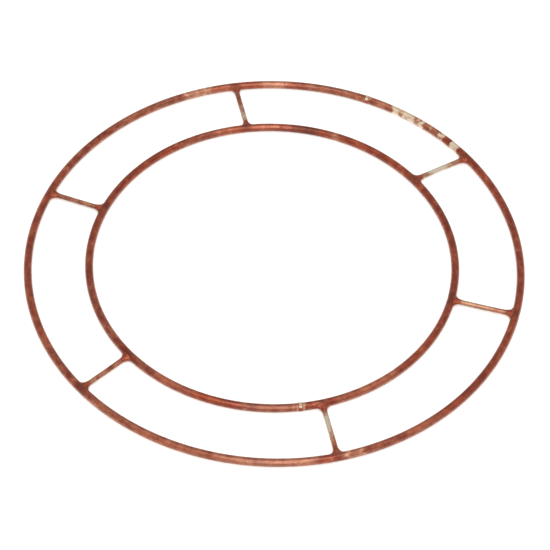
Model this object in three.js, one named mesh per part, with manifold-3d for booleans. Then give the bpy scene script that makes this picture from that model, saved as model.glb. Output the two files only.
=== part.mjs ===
// Flat wire wreath frame, 8 inch: two rings of copper-coated steel wire, one inside the other, each
// bent round and butt welded shut. Six short cross ties hold them apart, welded end-on to both.
// Millimetres, +Z up. The origin is the outer ring's centre, on the surface that the frame lies on,
// and +X runs out along the first tie. Bearings are degrees anticlockwise from +X, seen from above,
// about the centre of the ring that they are on.
import * as THREE from "three";
import { mergeVertices } from "three/addons/utils/BufferGeometryUtils.js";
import Module from "manifold-3d";

// Driving dimensions
const OUTER_DIAMETER = 203; // over the outer ring's wire
const INNER_DIAMETER = 152; // over the inner ring's wire
const RING_WIRE = 3.25; // 10 gauge
const TIE_WIRE = 2.03; // 14 gauge
const JOINT_GAP = 0.3; // left between the solids that a weld joins

// The inner ring and the ties are set by hand, so the ring isn't quite central and they aren't even.
const INNER_CENTRE = { x: -0.9, y: -0.3 };
const TIES = [
  { outer: 0, inner: 0.23 },
  { outer: 51, inner: 52.7 },
  { outer: 115.5, inner: 113.8 },
  { outer: 175, inner: 174.7 },
  { outer: 237, inner: 237 },
  { outer: 299.5, inner: 300.7 },
];
const OUTER_SEAM_BEARING = 82;
const INNER_SEAM_BEARING = 294;

// The weld at each end of a tie: a collar that flares from the tie on to the ring wire
const COLLAR_FOOT_RADIUS = 1.5; // less than the ring wire's, so that the frame still lies flat
const COLLAR_FOOT_SPREAD = 0.8; // share by which the foot is longer still along the ring wire
const COLLAR_FOOT_DEPTH = 0.425; // how far the foot wraps back round the ring wire
const COLLAR_REACH = 1.9; // from the ring wire's surface to the collar's tip
const COLLAR_TIP_SWELL = 0.12; // how far the collar stands proud of the tie at its tip

// The butt weld that closes a ring: a bead, dressed flat above and below so that the frame lies flat
const BEAD_WIDTH = 1.5;
const BEAD_PROUD = 0.3; // above the ring wire's surface, on the inside and outside of the ring
const BEAD_DRESSED = 0.05; // the dressed faces lie this far inside the wire's own top and bottom

// Fineness of the round shapes
const SECTION_SIDES = 16; // even, with a flat at the bottom that the ring rests on
const RING_STEPS = 96;
const WELD_SIDES = 16;
const WELD_CURVE_POINTS = 6;

const ringWireRadius = RING_WIRE / 2;
const tieWireRadius = TIE_WIRE / 2;

// Each ring's radius is to its wire's centreline.
const outerRing = {
  name: "outer_ring",
  centre: { x: 0, y: 0 },
  radius: OUTER_DIAMETER / 2 - ringWireRadius,
  seamBearing: OUTER_SEAM_BEARING,
};
const innerRing = {
  name: "inner_ring",
  centre: INNER_CENTRE,
  radius: INNER_DIAMETER / 2 - ringWireRadius,
  seamBearing: INNER_SEAM_BEARING,
};

const wasm = await Module();
wasm.setup();

// Materials
const copperWire = new THREE.MeshStandardMaterial({ color: 0x9b4b36, roughness: 0.34, metalness: 0.9 });
const tieCopper = new THREE.MeshStandardMaterial({ color: 0xb06a4a, roughness: 0.34, metalness: 0.9 });
const weldMetal = new THREE.MeshStandardMaterial({ color: 0x6e3527, roughness: 0.55, metalness: 0.85 });

const frame = new THREE.Group();

function addMesh(name, geometry, material) {
  const mesh = new THREE.Mesh(geometry, material);
  mesh.name = name;
  frame.add(mesh);
  return mesh;
}

// A manifold-3d solid from a three.js geometry, and back again.
function toSolid(geometry) {
  const bare = geometry.clone();
  bare.deleteAttribute("normal");
  bare.deleteAttribute("uv");
  const merged = mergeVertices(bare, 1e-4);
  return new wasm.Manifold(
    new wasm.Mesh({
      numProp: 3,
      vertProperties: merged.attributes.position.array,
      triVerts: new Uint32Array(merged.index.array),
    }),
  );
}

function toGeometry(solid) {
  const mesh = solid.getMesh();
  const geometry = new THREE.BufferGeometry();
  geometry.setAttribute("position", new THREE.BufferAttribute(mesh.vertProperties, 3));
  geometry.setIndex(new THREE.BufferAttribute(mesh.triVerts, 1));
  geometry.computeVertexNormals();
  return geometry;
}

// The point on a ring's centreline at a bearing.
function pointOn({ centre, radius }, bearing) {
  const angle = THREE.MathUtils.degToRad(bearing);
  const x = centre.x + radius * Math.cos(angle);
  const y = centre.y + radius * Math.sin(angle);
  return new THREE.Vector3(x, y, ringWireRadius);
}

// A ring's centreline: a level arc that starts and stops either side of its butt weld.
class RingLine extends THREE.Curve {
  constructor(ring) {
    super();
    this.ring = ring;
    const opening = BEAD_WIDTH + 2 * JOINT_GAP;
    this.halfOpening = THREE.MathUtils.radToDeg(opening / 2 / ring.radius);
  }

  getPoint(t, target = new THREE.Vector3()) {
    const span = 360 - 2 * this.halfOpening;
    return target.copy(pointOn(this.ring, this.ring.seamBearing + this.halfOpening + t * span));
  }
}

// The wire's section: flats touch the true circle, so the ring's overall sizes are exact.
function wireSection() {
  const cornerRadius = ringWireRadius / Math.cos(Math.PI / SECTION_SIDES);
  const corners = [];
  for (let i = 0; i < SECTION_SIDES; i++) {
    const angle = ((i + 0.5) / SECTION_SIDES) * 2 * Math.PI;
    corners.push(new THREE.Vector2(cornerRadius * Math.cos(angle), cornerRadius * Math.sin(angle)));
  }
  return new THREE.Shape(corners);
}

function ringGeometry(ring) {
  return new THREE.ExtrudeGeometry(wireSection(), {
    extrudePath: new RingLine(ring),
    steps: RING_STEPS,
  });
}

// A butt weld's bead, turned about Y: as wide as the wire at its faces, and proud of it between.
function beadGeometry() {
  const bulge = new THREE.QuadraticBezierCurve(
    new THREE.Vector2(ringWireRadius, -BEAD_WIDTH / 2),
    new THREE.Vector2(ringWireRadius + 2 * BEAD_PROUD, 0),
    new THREE.Vector2(ringWireRadius, BEAD_WIDTH / 2),
  );
  const profile = [
    new THREE.Vector2(0, -BEAD_WIDTH / 2),
    ...bulge.getPoints(WELD_CURVE_POINTS),
    new THREE.Vector2(0, BEAD_WIDTH / 2),
  ];
  const turned = toSolid(new THREE.LatheGeometry(profile, WELD_SIDES));
  const dressedHeight = RING_WIRE - 2 * BEAD_DRESSED;
  const dressing = toSolid(new THREE.BoxGeometry(3 * RING_WIRE, 2 * BEAD_WIDTH, dressedHeight));
  return toGeometry(turned.intersect(dressing));
}

// Spreads a collar's foot along X, the way that the ring wire runs, and fades to nothing at its tip.
function spreadFoot(geometry, foot, tip) {
  const points = geometry.attributes.position;
  for (let i = 0; i < points.count; i++) {
    const nearness = THREE.MathUtils.clamp((tip - points.getY(i)) / (tip - foot), 0, 1);
    points.setX(i, points.getX(i) * (1 + COLLAR_FOOT_SPREAD * nearness ** 2));
  }
  return geometry;
}

// A tie weld's collar, turned about Y, with the ring wire lying along X through the origin.
function collarGeometry() {
  const tipRadius = tieWireRadius + COLLAR_TIP_SWELL;
  const tip = ringWireRadius + COLLAR_REACH;
  const foot = ringWireRadius - COLLAR_FOOT_DEPTH;
  const flare = new THREE.QuadraticBezierCurve(
    new THREE.Vector2(COLLAR_FOOT_RADIUS, foot),
    new THREE.Vector2(tipRadius, ringWireRadius + JOINT_GAP),
    new THREE.Vector2(tipRadius, tip),
  );
  const profile = [new THREE.Vector2(0, 0), new THREE.Vector2(COLLAR_FOOT_RADIUS, 0)];
  profile.push(...flare.getPoints(WELD_CURVE_POINTS), new THREE.Vector2(0, tip));
  const turned = spreadFoot(new THREE.LatheGeometry(profile, WELD_SIDES), foot, tip);
  const saddleRadius = ringWireRadius + JOINT_GAP;
  const saddleLength = 3 * COLLAR_FOOT_RADIUS * (1 + COLLAR_FOOT_SPREAD);
  const saddle = new THREE.CylinderGeometry(saddleRadius, saddleRadius, saddleLength, 2 * WELD_SIDES);
  saddle.rotateZ(Math.PI / 2);
  return toGeometry(toSolid(turned).subtract(toSolid(saddle)));
}

// Rings, and the beads that close them
for (const ring of [outerRing, innerRing]) {
  addMesh(ring.name, ringGeometry(ring), copperWire);
  const bead = addMesh(ring.name + "_butt_weld", beadGeometry(), weldMetal);
  bead.position.copy(pointOn(ring, ring.seamBearing));
  bead.rotation.z = THREE.MathUtils.degToRad(ring.seamBearing);
}

// Cross ties, each with a collar at both ends. A group's +Y runs from the outer ring inwards.
TIES.forEach(({ outer, inner }, index) => {
  const number = index + 1;
  const outerEnd = pointOn(outerRing, outer);
  const innerEnd = pointOn(innerRing, inner);
  const span = outerEnd.distanceTo(innerEnd);
  const inward = innerEnd.clone().sub(outerEnd).normalize();
  const turn = Math.atan2(inward.y, inward.x) - Math.PI / 2;

  const outerCollar = addMesh(`tie_${number}_outer_weld`, collarGeometry(), weldMetal);
  outerCollar.position.copy(outerEnd);
  outerCollar.rotation.z = turn;

  const innerCollar = addMesh(`tie_${number}_inner_weld`, collarGeometry(), weldMetal);
  innerCollar.position.copy(innerEnd);
  innerCollar.rotation.z = turn + Math.PI;

  const weldedLength = ringWireRadius + COLLAR_REACH + JOINT_GAP;
  const cutLength = span - 2 * weldedLength;
  const rod = new THREE.CylinderGeometry(tieWireRadius, tieWireRadius, cutLength, WELD_SIDES);
  const tie = addMesh(`cross_tie_${number}`, rod, tieCopper);
  tie.position.copy(outerEnd).add(innerEnd).multiplyScalar(0.5);
  tie.rotation.z = turn;
});

export default frame;
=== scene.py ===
import math

import bpy
import numpy as np
from mathutils import Matrix, Vector


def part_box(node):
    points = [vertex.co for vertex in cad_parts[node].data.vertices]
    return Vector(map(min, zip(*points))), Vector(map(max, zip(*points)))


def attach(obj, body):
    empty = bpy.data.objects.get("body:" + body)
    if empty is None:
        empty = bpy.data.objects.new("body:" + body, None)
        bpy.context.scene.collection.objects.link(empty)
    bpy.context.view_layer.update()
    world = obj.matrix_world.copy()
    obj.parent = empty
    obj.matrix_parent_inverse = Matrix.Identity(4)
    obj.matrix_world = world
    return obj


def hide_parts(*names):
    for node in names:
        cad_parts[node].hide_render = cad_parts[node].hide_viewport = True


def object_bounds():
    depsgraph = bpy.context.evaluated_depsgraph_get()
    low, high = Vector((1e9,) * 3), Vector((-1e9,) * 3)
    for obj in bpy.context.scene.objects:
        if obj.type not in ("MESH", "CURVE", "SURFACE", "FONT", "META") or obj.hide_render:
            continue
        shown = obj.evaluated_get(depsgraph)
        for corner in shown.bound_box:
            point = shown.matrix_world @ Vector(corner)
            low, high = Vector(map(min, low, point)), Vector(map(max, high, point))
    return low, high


# The looks of a flat wreath frame: two rings of copper-coated wire, six cross ties and their welds.
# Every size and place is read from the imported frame, or is a small departure from it that real wire
# has: a bend that isn't quite true, a dent, a weld's uneven edge. Metres, in the frame's own axes.
# Bearings turn anticlockwise from +X, seen from above, about the centre of the ring that they are on.

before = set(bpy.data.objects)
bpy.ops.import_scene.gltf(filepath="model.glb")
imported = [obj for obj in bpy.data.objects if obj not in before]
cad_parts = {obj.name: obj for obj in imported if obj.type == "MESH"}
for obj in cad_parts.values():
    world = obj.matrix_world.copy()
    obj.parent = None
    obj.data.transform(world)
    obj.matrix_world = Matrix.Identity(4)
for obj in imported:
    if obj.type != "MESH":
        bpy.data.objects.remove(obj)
cad_low, cad_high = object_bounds()
cad_centre = (cad_low + cad_high) / 2

MM = 0.001
TURN = 2 * math.pi
UP = np.array([0.0, 0.0, 1.0])
TIES = 6


# ---------------------------------------------------------------------------------------------
# Where things are, read from the frame
# ---------------------------------------------------------------------------------------------


def node_points(node):
    """The corners of a CAD node's mesh, as rows of x, y and z."""
    return np.array([v.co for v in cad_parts[node].data.vertices], float)


def undulation(angle, phases):
    """A slow wave round a ring, from -1 to 1, of two cycles a turn and up: one would only shift it."""
    orders = 2 + np.arange(len(phases))
    waves = np.cos(np.multiply.outer(angle, orders) + phases) / orders
    return waves.sum(-1) / (1 / orders).sum()


class Ring:
    """One ring's centreline, a little out of true as hand-fed bending leaves it."""

    OUT_OF_ROUND = 0.13 * MM
    LIFT = 0.12 * MM  # the most that it stands off a flat table

    def __init__(self, node, seed):
        low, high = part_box(node)
        self.node = node
        self.wire = (high.z - low.z) / 2
        self.radius = (high.x - low.x) / 2 - self.wire
        self.middle = np.array((low + high) / 2)
        self.seam = self.bearing_of(node_points(node + "_butt_weld").mean(0))
        rng = np.random.default_rng(seed)
        self.round_phases = rng.uniform(0, TURN, 4)
        self.lift_phases = rng.uniform(0, TURN, 3)

    def bearing_of(self, point):
        return math.atan2(point[1] - self.middle[1], point[0] - self.middle[0])

    def point(self, bearing):
        """The centre of the wire at a bearing, or at each of several."""
        bearing = np.asarray(bearing, float)
        reach = self.radius + self.OUT_OF_ROUND * undulation(bearing, self.round_phases)
        rise = self.LIFT * (1 + undulation(bearing, self.lift_phases)) / 2
        return self.middle + reach[..., None] * self.outward(bearing) + rise[..., None] * UP

    def outward(self, bearing):
        bearing = np.asarray(bearing, float)
        return np.stack([np.cos(bearing), np.sin(bearing), np.zeros_like(bearing)], axis=-1)


def bearing_where(ring, point, direction):
    """The bearing at which a level line through a point meets a ring, on the nearer side."""
    from_middle = (point - ring.middle)[:2]
    along = from_middle @ direction[:2]
    reach = math.sqrt(along**2 - from_middle @ from_middle + ring.radius**2)
    step = min(-along + reach, -along - reach, key=abs)
    return ring.bearing_of(point + step * direction)


class Tie:
    """One cross tie: the bearings where it meets the rings, from its CAD node's own axis."""

    def __init__(self, number, outer, inner):
        points = node_points(f"cross_tie_{number}")
        centre = points.mean(0)
        direction = np.linalg.svd(points - centre, full_matrices=False)[2][0]
        low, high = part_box(f"cross_tie_{number}")
        self.number = number
        self.wire = (high.z - low.z) / 2
        self.bearings = {
            ring.node: bearing_where(ring, centre, direction)
            for ring in (outer, inner)
        }
        self.outer_end = outer.point(self.bearings[outer.node])
        self.inner_end = inner.point(self.bearings[inner.node])


outer_ring = Ring("outer_ring", seed=3)
inner_ring = Ring("inner_ring", seed=8)
ties = [Tie(number, outer_ring, inner_ring) for number in range(1, TIES + 1)]


# ---------------------------------------------------------------------------------------------
# Mesh helpers
# ---------------------------------------------------------------------------------------------


def smooth_noise(rng, rows, columns, cells_along, cells_around):
    """Smooth random values from -1 to 1 over a skin of rows by columns, joined up around it."""
    grid = rng.uniform(-1, 1, (cells_along + 2, cells_around))
    along = np.linspace(0, cells_along, rows)
    around = np.arange(columns) / columns * cells_around
    i, j = along.astype(int), around.astype(int)
    u, v = along - i, around - j
    u, v = (u * u * (3 - 2 * u))[:, None], (v * v * (3 - 2 * v))[None, :]
    k = (j + 1) % cells_around
    near = grid[i][:, j] * (1 - v) + grid[i][:, k] * v
    far = grid[i + 1][:, j] * (1 - v) + grid[i + 1][:, k] * v
    return near * (1 - u) + far * u


def bump_at(distance, width):
    """1 at distance 0, and gone a little past width."""
    return np.exp(-((distance / width) ** 2))


def turned_by(angle):
    """An angle brought to between minus half a turn and half a turn."""
    return (angle + math.pi) % TURN - math.pi


def skin_faces(rows, columns):
    """Quads over a closed skin of rows by columns, whose rows run round it."""
    row, column = np.meshgrid(np.arange(rows - 1), np.arange(columns), indexing="ij")
    nxt = (column + 1) % columns
    corners = [row * columns + column, row * columns + nxt]
    corners += [(row + 1) * columns + nxt, (row + 1) * columns + column]
    return np.stack(corners, axis=-1).reshape(-1, 4)


def solid_from_skin(name, skin, values):
    """A closed mesh from rows of points, each end closed on its middle.

    values maps an attribute's name to one number, or one vector, for each point of the skin.
    """
    rows, columns = skin.shape[:2]
    points = np.concatenate([skin.reshape(-1, 3), [skin[0].mean(0)], [skin[-1].mean(0)]])
    faces = skin_faces(rows, columns).tolist()
    first, last = rows * columns, rows * columns + 1
    end = (rows - 1) * columns
    for column in range(columns):
        nxt = (column + 1) % columns
        faces.append((first, nxt, column))
        faces.append((last, end + column, end + nxt))
    mesh = bpy.data.meshes.new(name)
    mesh.from_pydata(points.tolist(), [], faces)
    for key, grid in values.items():
        flat = grid.reshape(rows * columns, -1)
        flat = np.concatenate([flat, flat[:1], flat[-1:]])
        if flat.shape[1] == 1:
            mesh.attributes.new(key, "FLOAT", "POINT").data.foreach_set("value", flat.ravel())
        else:
            mesh.attributes.new(key, "FLOAT_VECTOR", "POINT").data.foreach_set(
                "vector", flat.ravel()
            )
    mesh.polygons.foreach_set("use_smooth", [True] * len(mesh.polygons))
    mesh.validate()
    mesh.update()
    piece = bpy.data.objects.new(name, mesh)
    bpy.context.scene.collection.objects.link(piece)
    return piece


def outward_faces(piece):
    """Turns a closed mesh's faces to point out, by the sign of its volume."""
    mesh = piece.data
    mesh.calc_loop_triangles()
    volume = sum(
        mesh.vertices[a].co.dot(mesh.vertices[b].co.cross(mesh.vertices[c].co))
        for a, b, c in (t.vertices for t in mesh.loop_triangles)
    )
    if volume < 0:
        mesh.flip_normals()


def finished(piece, material, node):
    """Gives a piece its material and its place in the table."""
    outward_faces(piece)
    piece.data.materials.append(material)
    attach(piece, "root")
    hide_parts(node)
    return piece


# ---------------------------------------------------------------------------------------------
# Materials
# ---------------------------------------------------------------------------------------------


class Shader:
    """One material's node tree, built a node at a time."""

    def __init__(self, name):
        self.material = bpy.data.materials.new(name)
        self.material.use_nodes = True
        self.tree = self.material.node_tree
        self.tree.nodes.clear()
        self.surface = self.node("ShaderNodeBsdfPrincipled")
        output = self.node("ShaderNodeOutputMaterial")
        self.tree.links.new(self.surface.outputs["BSDF"], output.inputs["Surface"])

    def node(self, kind, **settings):
        made = self.tree.nodes.new(kind)
        for key, value in settings.items():
            setattr(made, key, value)
        return made

    def feed(self, socket, value):
        """Links an input to an output, or sets it to a plain value."""
        if isinstance(value, bpy.types.NodeSocket):
            self.tree.links.new(value, socket)
        else:
            socket.default_value = value

    def set(self, **values):
        """Sets the surface's inputs, with _ for a space: set(Base_Color=...)."""
        for key, value in values.items():
            self.feed(self.surface.inputs[key.replace("_", " ")], value)

    def attribute(self, name, output="Fac"):
        return self.node("ShaderNodeAttribute", attribute_name=name).outputs[output]

    def object_space(self):
        return self.node("ShaderNodeTexCoord").outputs["Object"]

    def stretched(self, vector, scale):
        node = self.node("ShaderNodeVectorMath", operation="MULTIPLY")
        self.feed(node.inputs[0], vector)
        self.feed(node.inputs[1], scale)
        return node.outputs["Vector"]

    def noise(self, vector, scale, detail=2.0, roughness=0.5, distortion=0.0):
        """Noise from 0 to 1. scale is repeats per metre, as one number or one for each axis."""
        if not isinstance(scale, (int, float)):
            vector, scale = self.stretched(vector, scale), 1.0
        node = self.node("ShaderNodeTexNoise")
        self.feed(node.inputs["Vector"], vector)
        self.feed(node.inputs["Scale"], scale)
        self.feed(node.inputs["Detail"], detail)
        self.feed(node.inputs["Roughness"], roughness)
        self.feed(node.inputs["Distortion"], distortion)
        return node.outputs["Fac"]

    def maths(self, operation, a, b):
        node = self.node("ShaderNodeMath", operation=operation)
        self.feed(node.inputs[0], a)
        self.feed(node.inputs[1], b)
        return node.outputs[0]

    def levels(self, value, low, high, top=1.0):
        """Maps low..high to 0..top with soft ends."""
        node = self.node("ShaderNodeMapRange", interpolation_type="SMOOTHSTEP")
        self.feed(node.inputs["Value"], value)
        node.inputs["From Min"].default_value = low
        node.inputs["From Max"].default_value = high
        node.inputs["To Max"].default_value = top
        return node.outputs["Result"]

    def blend(self, factor, a, b):
        """A colour that goes from a to b."""
        node = self.node("ShaderNodeMix", data_type="RGBA")
        self.feed(node.inputs[0], factor)
        self.feed(node.inputs[6], a)
        self.feed(node.inputs[7], b)
        return node.outputs[2]

    def total(self, *terms):
        """The sum of (output, weight) pairs and plain numbers."""
        result = 0.0
        for term in terms:
            if isinstance(term, tuple):
                term = self.maths("MULTIPLY", term[0], term[1])
            result = self.maths("ADD", term, result)
        return result

    def relief(self, height, depth):
        """Feeds the surface's normal from a height of 0 to 1 that stands for depth in metres."""
        bump = self.node("ShaderNodeBump")
        bump.inputs["Strength"].default_value = 1.0
        bump.inputs["Distance"].default_value = depth
        self.feed(bump.inputs["Height"], height)
        self.feed(self.surface.inputs["Normal"], bump.outputs["Normal"])


WIRE_RELIEF = 0.028 * MM  # the depth of the drawing lines and specks
WELD_RELIEF = 0.05 * MM  # the depth of the scale on a weld


def rgb(red, green, blue):
    return (red, green, blue, 1.0)


def wire_material(name, dark, light, golden_and_highlight, steel, bright_steel_and_glint, spots_and_shade):
    """Lacquered copper coating on drawn steel wire.

    The coating runs from dark to light, turns yellower where it is thinner or where a highlight is
    painted, and has dark, tarnished specks. Where it is abraded, and where glints are painted, steel
    to bright_steel_and_glint shows; welding heat and painted shade darken it. Each mesh carries where
    and how
    much of each: wire_space is a point's place along and across the wire as if it were straight, gold
    is how thinly the wire is coated or how strong a painted highlight is, wear how far the coating is
    abraded or how strong a painted glint is, and heated how far welding has darkened it or how much
    painted shade it has.
    """
    shader = Shader(name)
    skin = shader.attribute("wire_space", "Vector")
    heat_and_shade = shader.attribute("heat_and_shade")
    wear_and_glint = shader.attribute("wear_and_glint")
    gold_and_highlight = shader.attribute("gold_and_highlight")

    clouds = shader.noise(skin, (55.0, 260.0, 260.0), detail=4.0, roughness=0.6)
    blotches = shader.noise(skin, (330.0, 420.0, 420.0), detail=3.0, roughness=0.6)
    drawn = shader.noise(skin, (35.0, 5200.0, 5200.0), detail=3.0, roughness=0.65)
    scuffs = shader.noise(skin, (420.0, 2600.0, 2600.0), detail=3.0, roughness=0.7)
    grain = shader.noise(skin, 7000.0, detail=3.0, roughness=0.6)
    specks = shader.noise(skin, 1150.0, detail=2.0, roughness=0.55)

    tone = shader.total((clouds, 1.0), (blotches, 1.2), (drawn, 0.8), (scuffs, 0.3), -1.15)
    colour = shader.blend(shader.levels(tone, 0.1, 0.95), dark, light)
    # Golden where the coating is thin, and a painted highlight where the stretches lie.
    thin_and_highlight = shader.levels(shader.total(gold_and_highlight, (blotches, 0.6), (scuffs, 0.3), -0.45), 0.0, 1.0)
    colour = shader.blend(thin_and_highlight, colour, golden_and_highlight)
    speckle = shader.levels(specks, 0.66, 0.74)
    colour = shader.blend(speckle, colour, spots_and_shade)
    # Where the coating is rubbed off, and where glints are painted: both show as pale steel below.
    rubbed_and_glint = shader.total(wear_and_glint, (blotches, 1.1), (scuffs, 0.5), (drawn, 0.2), (grain, 0.2), -1.45)
    colour = shader.blend(shader.levels(rubbed_and_glint, -0.26, 0.12, top=0.75), colour, golden_and_highlight)
    worn_and_glint = shader.levels(rubbed_and_glint, -0.04, 0.32, top=0.95)
    streaks = shader.levels(shader.total((drawn, 0.7), (scuffs, 0.3)), 0.36, 0.58)
    colour = shader.blend(worn_and_glint, colour, shader.blend(streaks, steel, bright_steel_and_glint))
    # Heat tint by the welds, and painted shade from the darker stretches, both towards the spot
    # colour.
    scorched_and_shaded = shader.levels(shader.total(heat_and_shade, (clouds, 0.5), (grain, 0.15), -0.42), 0.0, 0.9)
    colour = shader.blend(shader.maths("MULTIPLY", scorched_and_shaded, 0.6), colour, spots_and_shade)

    rough = shader.total(
        (clouds, 0.2), (drawn, 0.12), (speckle, 0.25), (scorched_and_shaded, 0.15), (worn_and_glint, 0.08), 0.25
    )
    shader.set(
        Base_Color=colour,
        Metallic=shader.total((worn_and_glint, 0.25), 0.6),
        Roughness=rough,
        Specular_IOR_Level=0.4,
        Coat_Weight=shader.total((scorched_and_shaded, -0.2), (worn_and_glint, -0.3), 0.4),
        Coat_Roughness=0.12,
    )
    height = shader.total(
        (drawn, 0.6), (scuffs, 0.2), (grain, 0.12), (speckle, -0.3), (worn_and_glint, -0.25), 0.4
    )
    shader.relief(height, WIRE_RELIEF)
    return shader.material


def weld_material():
    """Weld metal: copper that has run and scaled, rougher than the wire, and bare where filed."""
    shader = Shader("weld_metal")
    place = shader.object_space()
    filed = shader.attribute("filed")
    skin = shader.attribute("wire_space", "Vector")
    marks = shader.noise(skin, (60.0, 7000.0, 7000.0), detail=3.0)
    scale = shader.noise(place, 900.0, detail=4.0, roughness=0.65, distortion=0.4)
    crust = shader.noise(place, 3200.0, detail=3.0, roughness=0.6)
    grain = shader.noise(place, 9000.0, detail=2.0)
    colour = shader.blend(
        shader.levels(scale, 0.3, 0.7), rgb(0.16, 0.018, 0.006), rgb(0.36, 0.075, 0.026)
    )
    colour = shader.blend(shader.levels(crust, 0.6, 0.74), colour, rgb(0.06, 0.02, 0.012))
    opened = shader.total(filed, (scale, 1.1), (crust, 0.6), (marks, 0.5), -1.6)
    bare = shader.levels(opened, 0.0, 0.4)
    steel = shader.blend(
        shader.levels(marks, 0.35, 0.6), rgb(0.34, 0.26, 0.19), rgb(0.7, 0.59, 0.46)
    )
    colour = shader.blend(bare, colour, steel)
    rough = shader.total((scale, 0.2), (crust, 0.2), (bare, 0.04), 0.28)
    shader.set(
        Base_Color=colour,
        Metallic=shader.total((bare, 0.25), 0.5),
        Roughness=rough,
        Specular_IOR_Level=0.4,
        Coat_Weight=0.25,
        Coat_Roughness=0.2,
    )
    height = shader.total((scale, 0.5), (crust, 0.35), (grain, 0.15), (marks, 0.3))
    shader.relief(height, WELD_RELIEF)
    return shader.material


# The golden colour also paints highlights, the steel colours glints and the spot colour shade, besides
# thin coating, bare steel, specks and weld heat.
ring_copper = wire_material(
    "ring_wire_copper",
    dark=rgb(0.145, 0.014, 0.004),
    light=rgb(0.35, 0.066, 0.019),
    golden_and_highlight=rgb(0.48, 0.235, 0.145),
    steel=rgb(0.5, 0.41, 0.31),
    bright_steel_and_glint=rgb(0.76, 0.65, 0.51),
    spots_and_shade=rgb(0.06, 0.016, 0.01),
)
tie_copper = wire_material(
    "tie_wire_copper",
    dark=rgb(0.16, 0.024, 0.009),
    light=rgb(0.38, 0.1, 0.045),
    golden_and_highlight=rgb(0.42, 0.25, 0.155),
    steel=rgb(0.42, 0.355, 0.29),
    bright_steel_and_glint=rgb(0.66, 0.57, 0.47),
    spots_and_shade=rgb(0.07, 0.02, 0.012),
)
weld_copper = weld_material()


# ---------------------------------------------------------------------------------------------
# Wires
# ---------------------------------------------------------------------------------------------

STATION = 0.45 * MM  # between rows of points along a ring
RING_SIDES = 48
TIE_SIDES = 36
SEAM_GAP = 0.04 * MM  # either side of a ring's seam, inside its bead
OVAL = 0.006  # how far a ring's section is from round, as a share of the wire's radius
ROLLED_FLAT = 0.012 * MM  # pressed into the inside and outside of a ring by the bending rolls
ELECTRODE_DENT = 0.07 * MM  # pressed into a ring behind each tie's weld
UNEVEN = 0.006 * MM  # slow waves in every wire's surface
NICK = 0.05 * MM  # the deepest nick
RING_NICKS, TIE_NICKS = 90, 5
HEAT_REACH = 3.2 * MM  # how far a weld's heat has marked the coating
FILED_REACH = 1.7 * MM  # how far the coating is filed off beside a ring's seam
LEAST_WEAR = 0.1  # a trace of wear that all the coating has

# Stretches of a ring, from one bearing to another in degrees, and how strong each is from 0 to 1
PAINTED_GLINTS = {  # painted glints: pale stretches, drawn as coating rubbed off down to bare steel
    "outer_ring": [
        (53.8, 56.6, 0.72),
        (58.9, 60.6, 0.62),
        (62.7, 64.3, 0.4),
        (65.5, 67.0, 0.7),
        (67.0, 73.0, 0.53),
        (68.3, 71.6, 0.76),
        (72.6, 75.0, 0.72),
        (80.7, 82.0, 0.42),
        (122.0, 123.9, 0.4),
        (124.9, 126.2, 0.43),
        (127.5, 128.9, 0.43),
        (301.0, 302.3, 0.38),
        (304.5, 305.7, 0.38),
    ],
    "inner_ring": [(277.0, 278.2, 0.35), (291.4, 292.5, 0.4), (294.2, 295.6, 0.5)],
}
GOLDEN_AND_HIGHLIGHTS = {  # where it is thin and golden, and painted highlights, most on the tops and bottoms of the rings
    "outer_ring": [
        (60.0, 81.0, 0.35),
        (83.0, 98.0, 0.32),
        (102.0, 109.0, 0.5),
        (116.0, 133.0, 0.22),
        (121.8, 129.5, 0.55),
        (128.5, 150.0, 0.3),
        (150.0, 172.0, 0.18),
        (220.0, 236.0, 0.2),
        (238.0, 272.0, 0.3),
        (272.0, 295.5, 0.42),
        (300.0, 326.0, 0.25),
        (300.5, 306.2, 0.45),
    ],
    "inner_ring": [
        (82.8, 85.6, 0.5),
        (101.0, 112.0, 0.16),
        (118.0, 138.0, 0.25),
        (206.0, 233.0, 0.18),
        (240.0, 262.0, 0.25),
        (276.0, 293.0, 0.3),
        (304.0, 328.0, 0.3),
    ],
}
PAINTED_SHADE = {  # painted shade: darker stretches, most of them dimming the highlights on the tops and bottoms
    "outer_ring": [(84.0, 100.0, 0.4), (201.0, 218.0, 0.35), (266.0, 288.0, 0.4)],
    "inner_ring": [(89.5, 99.5, 0.75), (181.0, 203.0, 0.35), (276.0, 292.0, 0.45)],
}
PAINTED_GLINT_FADE, GOLDEN_AND_HIGHLIGHT_FADE, PAINTED_SHADE_FADE = 0.9, 4.0, 2.0  # degrees that a stretch's ends take
WANDER = math.radians(0.55)  # how far the edge of a stretch strays along the ring


def sweep(name, centres, outward, upward, skin_radius, along, values):
    """A wire of round section along centres. skin_radius is the radius at each row and side."""
    rows, sides = skin_radius.shape
    around = np.arange(sides) / sides * TURN
    spoke = (
        np.cos(around)[None, :, None] * outward[:, None, :]
        + np.sin(around)[None, :, None] * upward[:, None, :]
    )
    skin = centres[:, None, :] + skin_radius[..., None] * spoke
    mean = skin_radius.mean()
    unbent = np.stack(
        [
            np.broadcast_to(along[:, None], (rows, sides)),
            np.broadcast_to(mean * np.cos(around), (rows, sides)),
            np.broadcast_to(mean * np.sin(around), (rows, sides)),
        ],
        axis=-1,
    )
    return solid_from_skin(name, skin, {"wire_space": unbent, **values})


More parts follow.
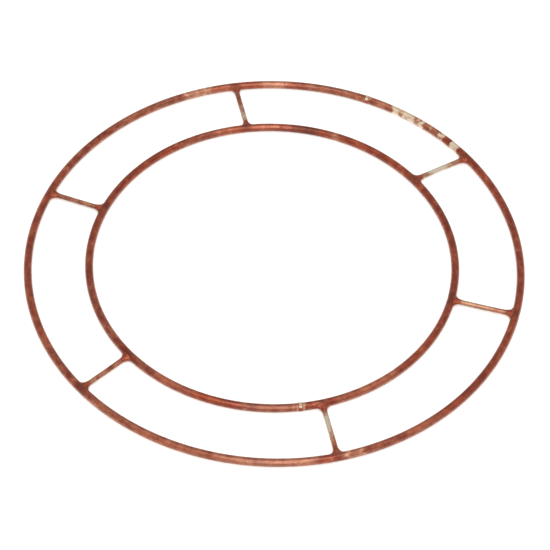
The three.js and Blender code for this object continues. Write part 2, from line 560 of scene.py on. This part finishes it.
def nicks(rng, rows, sides, row_pitch, side_pitch, count):
    """Small nicks and scuffs, as how far each point of a wire's skin is pushed in."""
    depth = np.zeros((rows, sides))
    for _ in range(count):
        row, side = rng.uniform(0, rows), rng.uniform(0, sides)
        length, width = rng.uniform(0.5, 1.8) * MM, rng.uniform(0.35, 0.8) * MM
        along = (np.arange(rows) - row) * row_pitch
        around = turned_by((np.arange(sides) - side) / sides * TURN) / TURN * sides * side_pitch
        nick = bump_at(along, length)[:, None] * bump_at(around, width)[None, :]
        depth = np.maximum(depth, rng.uniform(0.3, 1.0) * NICK * nick)
    return depth


def ring_heat(ring, bearings, around, facing):
    """How far the welds' heat has darkened each point of a ring, from 0 to 1."""
    heat = np.zeros((len(bearings), len(around)))
    for tie in ties:
        away = turned_by(bearings - tie.bearings[ring.node]) * ring.radius
        side = 0.7 + 0.3 * np.cos(around - facing)
        heat = np.maximum(heat, bump_at(away, HEAT_REACH)[:, None] * side[None, :])
    seam = turned_by(bearings - ring.seam) * ring.radius
    return np.maximum(heat, 0.5 * bump_at(seam, 1.3 * HEAT_REACH)[:, None])


def ring_stretches(bearings, stretches, fade):
    """The strength of the stretch that each bearing is in. fade is how many degrees its ends take."""
    strength = np.zeros_like(bearings)
    for start, end, amount in stretches:
        away = np.abs(turned_by(bearings - math.radians((start + end) / 2)))
        inside = np.clip(0.5 + (math.radians((end - start) / 2) - away) / math.radians(fade), 0, 1)
        strength = np.maximum(strength, amount * inside**2 * (3 - 2 * inside))
    return strength


def ring_wear_and_glints(ring, bearings):
    """Abrasion, and painted glint, from 0 to 1: a trace everywhere, the filed seam, and the glints."""
    filed = 0.6 * bump_at(turned_by(bearings - ring.seam) * ring.radius, FILED_REACH)
    rubbed_and_glint = ring_stretches(bearings, PAINTED_GLINTS[ring.node], PAINTED_GLINT_FADE)
    return np.maximum(np.maximum(filed, LEAST_WEAR), rubbed_and_glint)


def make_ring(ring, facing, seed):
    """A ring's wire. facing is the side of its section that the ties meet, as an angle from out."""
    rng = np.random.default_rng(seed)
    gap = SEAM_GAP / ring.radius
    rows = round(TURN * ring.radius / STATION)
    bearings = ring.seam + np.linspace(gap, TURN - gap, rows)
    around = np.arange(RING_SIDES) / RING_SIDES * TURN
    side_pitch = TURN * ring.wire / RING_SIDES

    oval = OVAL * ring.wire * np.cos(2 * around)
    rolled = bump_at(turned_by(around), 0.3) + bump_at(turned_by(around - math.pi), 0.3)
    skin_radius = np.tile(ring.wire - oval - ROLLED_FLAT * rolled, (rows, 1))
    skin_radius += UNEVEN * smooth_noise(rng, rows, RING_SIDES, rows // 9, 12)
    skin_radius -= nicks(rng, rows, RING_SIDES, STATION, side_pitch, RING_NICKS)
    for tie in ties:
        away = turned_by(bearings - tie.bearings[ring.node]) * ring.radius
        behind = turned_by(around - facing - math.pi)
        mark = bump_at(away, 1.5 * MM)[:, None] * bump_at(behind, 0.75)[None, :]
        skin_radius -= ELECTRODE_DENT * mark

    strayed = bearings[:, None] + WANDER * smooth_noise(rng, rows, RING_SIDES, rows // 5, 8)
    # Painted shade: darker stretches that dim highlights.
    shade_stretches = ring_stretches(strayed, PAINTED_SHADE[ring.node], PAINTED_SHADE_FADE)
    # These carry painted light as well as real marks: glints in the abrasion, highlights in the golden
    # coating, shade in the darkening.
    values = {
        "heat_and_shade": np.maximum(ring_heat(ring, bearings, around, facing), shade_stretches),
        "wear_and_glint": ring_wear_and_glints(ring, strayed),
        "gold_and_highlight": ring_stretches(strayed, GOLDEN_AND_HIGHLIGHTS[ring.node], GOLDEN_AND_HIGHLIGHT_FADE),
    }
    outward = ring.outward(bearings)
    upward = np.tile(UP, (rows, 1))
    along = (bearings - ring.seam) * ring.radius
    piece = sweep(
        ring.node + "_wire", ring.point(bearings), outward, upward, skin_radius, along, values
    )
    return finished(piece, ring_copper, ring.node)


make_ring(outer_ring, facing=math.pi, seed=21)
make_ring(inner_ring, facing=0.0, seed=22)

TIE_STATION = 0.22 * MM  # between rows of points along a tie
TIE_BURY = 0.35 * MM  # how far a tie's ends go into the ring wires
TIE_BOW = 0.1 * MM  # the most that a tie is bent, sideways and upwards
# Each tie's coating from 0 to 1: how thin and golden, which also paints highlights; how much of it
# is rubbed off, which also paints glints; and where along the tie that is, from the outer ring
TIE_COATING_AND_GLINTS = [
    (0.4, 0.4, 0.55),
    (0.38, 0.82, 0.54),
    (0.25, 0.5, 0.72),
    (0.34, 0.32, 0.6),
    (0.2, 0.38, 0.3),
    (0.2, 0.76, 0.61),
]


def make_tie(tie, gold_and_highlight, wear_and_glint, wear_and_glint_at, seed):
    """A cross tie's wire, from inside one ring's wire to inside the other's."""
    rng = np.random.default_rng(seed)
    run = tie.inner_end - tie.outer_end
    length = np.linalg.norm(run)
    inward = run / length
    start = outer_ring.wire - TIE_BURY
    end = length - (inner_ring.wire - TIE_BURY)
    rows = round((end - start) / TIE_STATION)
    along = np.linspace(start, end, rows)
    share = (along - start) / (end - start)
    sideways = np.cross(UP, inward)
    upward = np.cross(inward, sideways)

    bow = TIE_BOW * rng.uniform(-1, 1, 2)
    arch = 4 * share * (1 - share)
    centres = tie.outer_end + along[:, None] * inward
    centres = centres + arch[:, None] * (bow[0] * sideways + bow[1] * upward)

    side_pitch = TURN * tie.wire / TIE_SIDES
    row_pitch = along[1] - along[0]
    skin_radius = np.full((rows, TIE_SIDES), tie.wire)
    skin_radius += UNEVEN * smooth_noise(rng, rows, TIE_SIDES, 12, 9)
    skin_radius -= nicks(rng, rows, TIE_SIDES, row_pitch, side_pitch, TIE_NICKS)

    ends = np.minimum(along - outer_ring.wire, length - inner_ring.wire - along)
    heat = np.tile(bump_at(np.maximum(ends, 0), 0.9 * HEAT_REACH)[:, None], (1, TIE_SIDES))
    # Rubbed coating along the tie, and a painted glint, strongest part way along.
    worn_and_glint = LEAST_WEAR + (wear_and_glint - LEAST_WEAR) * bump_at(share - wear_and_glint_at, 0.27)
    values = {
        "heat_and_shade": heat,
        "wear_and_glint": np.tile(worn_and_glint[:, None], (1, TIE_SIDES)),
        "gold_and_highlight": np.full((rows, TIE_SIDES), gold_and_highlight),
    }
    piece = sweep(
        f"cross_tie_{tie.number}_wire",
        centres,
        np.tile(sideways, (rows, 1)),
        np.tile(upward, (rows, 1)),
        skin_radius,
        along + tie.number,  # a metre apart, so that no two ties have the same marks
        values,
    )
    return finished(piece, tie_copper, f"cross_tie_{tie.number}")


for tie, (gold_and_highlight, wear_and_glint, wear_and_glint_at) in zip(ties, TIE_COATING_AND_GLINTS):
    make_tie(tie, gold_and_highlight, wear_and_glint, wear_and_glint_at, seed=30 + tie.number)


# ---------------------------------------------------------------------------------------------
# Welds
# ---------------------------------------------------------------------------------------------

FOOT_ALONG = 3.3 * MM  # half a tie weld's foot, the way the ring wire runs
FOOT_ACROSS = 1.36 * MM  # and across it
FOOT_SUNK = 0.05 * MM  # how far the foot's edge is under the ring wire's surface
WELD_REACH = 2.5 * MM  # from the ring wire's surface up the tie
TIP_PROUD = 0.015 * MM  # how far the weld stands proud of the tie at its tip
WELD_THROAT = 0.3 * MM  # how far the fillet's inner corner stands off the ring wire
WELD_LUMPS, WELD_RIPPLES = 0.06 * MM, 0.018 * MM  # coarse and fine unevenness
WELD_LIP = 0.07 * MM  # a rounded rim just above the foot
WELD_ROWS = 30
WELD_SIDES = 72


def make_tie_weld(tie, ring, end, other_end, name, seed):
    """The fillet where a tie meets a ring: it hugs the ring wire at its foot and fades up the tie."""
    rng = np.random.default_rng(seed)
    to_tie = (other_end - end) / np.linalg.norm(other_end - end)
    bearing = tie.bearings[ring.node]
    outward = ring.outward(bearing)
    tangent = np.cross(UP, outward)
    bend = math.copysign(0.5 / ring.radius, -(to_tie @ outward))  # the foot follows the ring

    around = np.arange(WELD_SIDES) / WELD_SIDES * TURN
    cosine, sine = np.cos(around), np.sin(around)
    ragged = smooth_noise(rng, 3, WELD_SIDES, 2, 7)
    foot_x = FOOT_ALONG * (1 + 0.12 * ragged[0]) * cosine
    foot_z = FOOT_ACROSS * (1 + 0.05 * ragged[1]) * sine
    foot_y = np.sqrt(ring.wire**2 - foot_z**2) - FOOT_SUNK
    neck = tie.wire + TIP_PROUD
    tip_y = ring.wire + WELD_REACH * (1 + 0.13 * ragged[2])
    corner_y = np.sqrt(ring.wire**2 - (neck * sine) ** 2) + WELD_THROAT

    foot = np.stack([foot_x, foot_y, foot_z], axis=-1)
    corner = np.stack([1.3 * neck * cosine, corner_y, 1.1 * neck * sine], axis=-1)
    tip = np.stack([neck * cosine, tip_y, neck * sine], axis=-1)
    t = np.linspace(0, 1, WELD_ROWS)[:, None, None]
    shape = (1 - t) ** 2 * foot + 2 * t * (1 - t) * corner + t**2 * tip

    swell = smooth_noise(rng, WELD_ROWS, WELD_SIDES, 4, 8) * WELD_LUMPS
    swell += smooth_noise(rng, WELD_ROWS, WELD_SIDES, 9, 21) * WELD_RIPPLES
    risen = t[..., 0]
    lip = WELD_LIP * bump_at(risen - 0.1, 0.12) * (1 + 0.5 * ragged[1])
    proud = (swell + lip) * np.sin(math.pi * np.clip(risen + 0.06, 0, 1))
    flare = np.stack([cosine, np.full(WELD_SIDES, 0.55), sine], axis=-1)
    shape += proud[..., None] * flare

    # The closed ends lie inside the ring wire and inside the tie.
    inside_y = np.full(WELD_SIDES, 0.55 * ring.wire)
    inside_foot = np.stack([0.55 * foot_x, inside_y, 0.55 * foot_z], axis=-1)
    end_y = np.full(WELD_SIDES, tip_y.mean())
    inside_tip = np.stack([0.5 * neck * cosine, end_y, 0.5 * neck * sine], axis=-1)
    shape = np.concatenate([inside_foot[None], shape, inside_tip[None]])
    shape[..., 1] += bend * shape[..., 0] ** 2
    skin = end + shape[..., :1] * tangent + shape[..., 1:2] * to_tie + shape[..., 2:] * UP
    piece = solid_from_skin(name + "_fillet", skin, {"filed": np.zeros(skin.shape[:2])})
    return finished(piece, weld_copper, name)


for tie in ties:
    outer_end, inner_end, number = tie.outer_end, tie.inner_end, tie.number
    make_tie_weld(
        tie, outer_ring, outer_end, inner_end, f"tie_{number}_outer_weld", seed=50 + number
    )
    make_tie_weld(
        tie, inner_ring, inner_end, outer_end, f"tie_{number}_inner_weld", seed=60 + number
    )

BEAD_HALF = 1.0 * MM  # half its width along the wire
BEAD_PROUD = 0.2 * MM  # of the wire, at the bead's middle
BEAD_SUNK = 0.03 * MM  # how far its edges are under the wire's surface
BEAD_CREASE = 0.04 * MM  # the line where the two ends meet
BEAD_DRESSED = 0.02 * MM  # its filed faces stand this far off the wire
BEAD_ROWS = 33


def make_seam_bead(ring, seed):
    """The upset where a ring's two ends are butt welded, filed flush above and below."""
    rng = np.random.default_rng(seed)
    across = np.linspace(-1, 1, BEAD_ROWS)
    around = np.arange(WELD_SIDES) / WELD_SIDES * TURN
    bulge = (1 - across**2) ** 0.8
    crease = BEAD_CREASE * bump_at(across, 0.14)
    uneven = 1 + 0.25 * smooth_noise(rng, BEAD_ROWS, WELD_SIDES, 3, 7)
    radius = ring.wire - BEAD_SUNK + (BEAD_PROUD * bulge)[:, None] * uneven - crease[:, None]
    offset_out = radius * np.cos(around)
    offset_up = radius * np.sin(around)
    face = ring.wire + BEAD_DRESSED
    offset_up = np.clip(offset_up, -face, face)
    bearings = ring.seam + across * BEAD_HALF / ring.radius
    centres, outward = ring.point(bearings), ring.outward(bearings)
    skin = centres[:, None] + offset_out[..., None] * outward[:, None] + offset_up[..., None] * UP
    by_width = np.clip(1.1 - 1.2 * across**2, 0, 0.85)
    by_height = np.clip(1.6 * np.abs(np.sin(around)) - 0.2, 0, 1)
    along = np.broadcast_to((across * BEAD_HALF)[:, None], radius.shape)
    values = {
        "filed": by_width[:, None] * by_height,
        "wire_space": np.stack([along, offset_out, offset_up], axis=-1),
    }
    piece = solid_from_skin(ring.node + "_seam_bead", skin, values)
    return finished(piece, weld_copper, ring.node + "_butt_weld")


make_seam_bead(outer_ring, seed=71)
make_seam_bead(inner_ring, seed=72)


# ---------------------------------------------------------------------------------------------
# Floor, light and camera
# ---------------------------------------------------------------------------------------------


CAMERA_AZIMUTH = 14.5
CAMERA_ELEVATION = 49.9
CAMERA_ROLL = math.radians(1.5)
CAMERA_DISTANCE = 0.895
CAMERA_LENS, CAMERA_SENSOR = 144.2, 36.0
AIM_RIGHT, AIM_DOWN = 0.15 * MM, 5.97 * MM  # the frame sits a little high in the picture

FLOOR_HALF = 30.0
WORLD_BRIGHTNESS = 0.7
KEY_ELEVATION = 60
KEY_DISTANCE = 1.2
KEY_WIDTH, KEY_LENGTH = 0.56, 1.9
KEY_RADIANCE = 4.1
WARM_WHITE = (1.0, 0.98, 0.89)


def make_floor():
    half = FLOOR_HALF
    mesh = bpy.data.meshes.new("floor")
    corners = [(-half, -half, 0), (half, -half, 0), (half, half, 0), (-half, half, 0)]
    mesh.from_pydata(corners, [], [(0, 1, 2, 3)])
    floor = bpy.data.objects.new("floor", mesh)
    floor.location.z = cad_low.z
    bpy.context.scene.collection.objects.link(floor)
    shader = Shader("floor_white")
    shader.set(
        Base_Color=rgb(0.9, 0.9, 0.9),
        Roughness=0.8,
        Specular_IOR_Level=0.1,
        Emission_Color=rgb(1.0, 1.0, 1.0),
        Emission_Strength=0.25,
    )
    mesh.materials.append(shader.material)


def look_at(thing, place, target, roll=0.0):
    """Puts a camera or light at place, aimed at target, and turned by roll about its aim."""
    facing = (Vector(target) - Vector(place)).to_track_quat("-Z", "Y").to_matrix().to_4x4()
    thing.matrix_world = Matrix.Translation(place) @ facing @ Matrix.Rotation(roll, 4, "Z")


def make_key_light():
    """A long softbox above the camera."""
    light = bpy.data.lights.new("key", "AREA")
    light.shape = "RECTANGLE"
    light.size, light.size_y = KEY_WIDTH, KEY_LENGTH
    light.energy = KEY_RADIANCE * math.pi * KEY_WIDTH * KEY_LENGTH
    light.color = WARM_WHITE
    softbox = bpy.data.objects.new("key", light)
    bpy.context.scene.collection.objects.link(softbox)
    look_at(softbox, seen_from(CAMERA_AZIMUTH, KEY_ELEVATION, KEY_DISTANCE), cad_centre)


def seen_from(azimuth, elevation, distance):
    """A place at an azimuth, turning from -Y towards +X, and an elevation from the frame."""
    a, e = math.radians(azimuth), math.radians(elevation)
    back = Vector((math.sin(a) * math.cos(e), -math.cos(a) * math.cos(e), math.sin(e)))
    return cad_centre + back * distance


def make_world():
    world = bpy.data.worlds.new("studio")
    world.use_nodes = True
    background = world.node_tree.nodes["Background"]
    background.inputs["Color"].default_value = rgb(1.0, 1.0, 1.0)
    background.inputs["Strength"].default_value = WORLD_BRIGHTNESS
    bpy.context.scene.world = world


def make_camera():
    data = bpy.data.cameras.new("camera")
    data.lens = CAMERA_LENS
    data.sensor_width = CAMERA_SENSOR
    camera = bpy.data.objects.new("camera", data)
    bpy.context.scene.collection.objects.link(camera)
    place = seen_from(CAMERA_AZIMUTH, CAMERA_ELEVATION, CAMERA_DISTANCE)
    look_at(camera, place, cad_centre, CAMERA_ROLL)
    right, up = camera.matrix_world.col[0].to_3d(), camera.matrix_world.col[1].to_3d()
    look_at(camera, place, cad_centre + AIM_RIGHT * right - AIM_DOWN * up, CAMERA_ROLL)
    bpy.context.scene.camera = camera


make_floor()
make_world()
make_key_light()
make_camera()
bpy.context.scene.view_settings.view_transform = "Standard"
